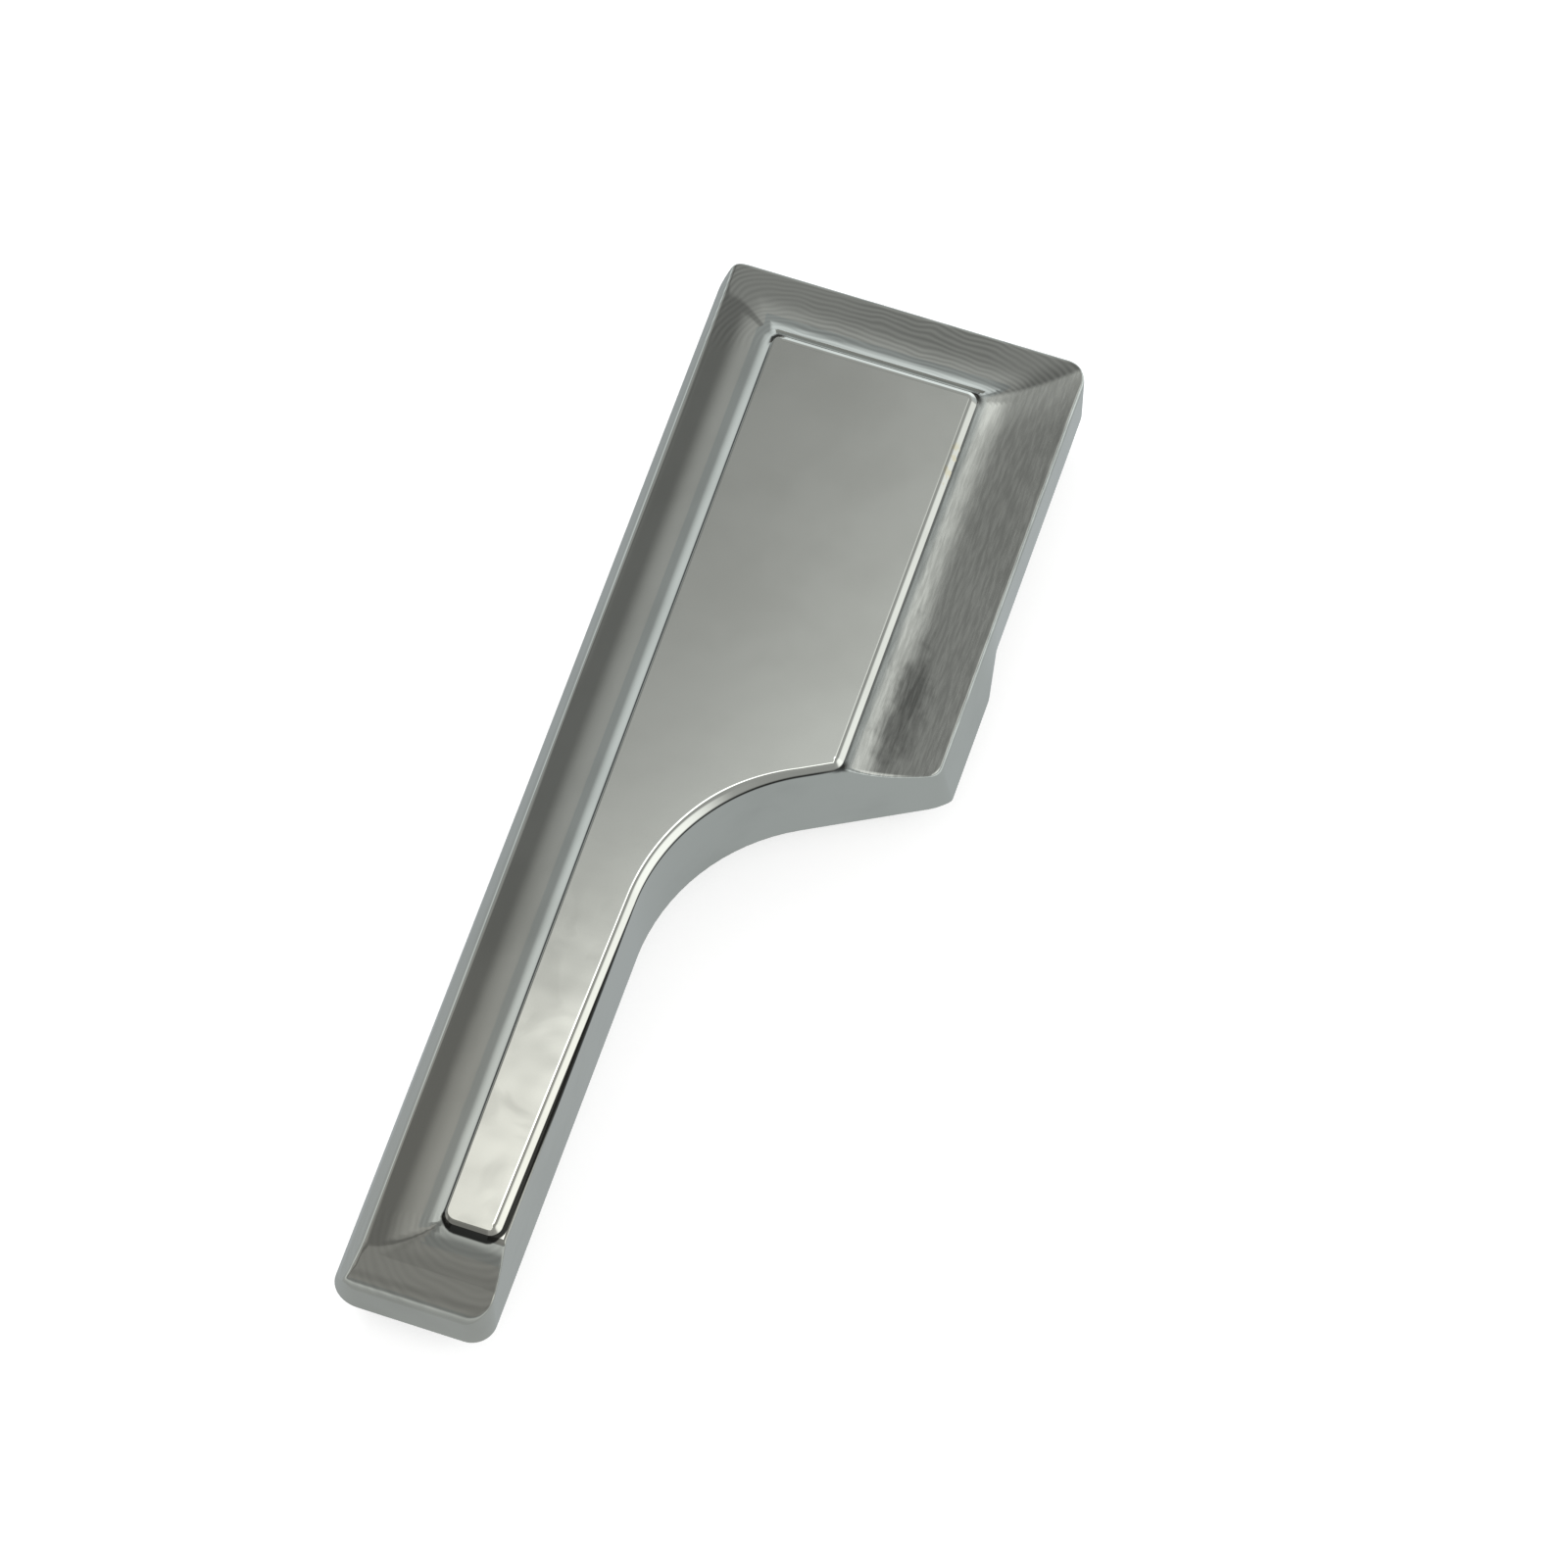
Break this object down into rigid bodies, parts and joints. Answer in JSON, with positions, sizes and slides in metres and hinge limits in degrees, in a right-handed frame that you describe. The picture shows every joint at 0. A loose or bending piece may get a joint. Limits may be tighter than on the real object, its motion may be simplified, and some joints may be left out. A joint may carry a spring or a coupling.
{
  "type": "car interior door handle",
  "caption": "Chromed pull lever of a car's interior door handle, hinged on a pin in a small steel bracket with a return spring.",
  "frame": {"origin": "under the middle of the box, on the door's mounting plane, the underside of the hinge bracket", "axes": "+Z is the normal of the lever's face, away from the door; +Y runs from the tip of the arm to the head; +X points to the side with the finger notch"},
  "size_m": [0.0488, 0.14, 0.0168],
  "materials": {
    "chrome_casting": "polished chrome plating with soft scuffing on the right bevel and fine polishing lines",
    "plated_sheet_steel": "zinc plated with a light yellow passivation",
    "bright_steel": "turned steel, lightly oiled",
    "spring_steel": "dark drawn wire",
    "nylon": "natural moulded nylon",
    "black_rubber": "soft matt moulded rubber"
  },
  "bodies": {
    "bracket": {"hinge_bracket": "plated_sheet_steel", "hinge_pin": "bright_steel", "pin_clip": "spring_steel", "bump_stops": "black_rubber", "weld_nuts": "plated_sheet_steel", "return_spring": "spring_steel"},
    "lever": {"lever": "chrome_casting", "left_bush": "nylon", "right_bush": "nylon", "rod_bush": "nylon"}
  },
  "joints": [
    {"name": "lever_pull", "type": "hinge", "parent": "bracket", "child": "lever", "pos_m": [-0.0006, 0.0575, 0.0059], "axis": [-1, 0, 0], "range_deg": [0, 30], "stiffness_Nm_per_rad": 0.12, "springref_deg": -40.11, "deforming": ["return_spring"]}
  ]
}
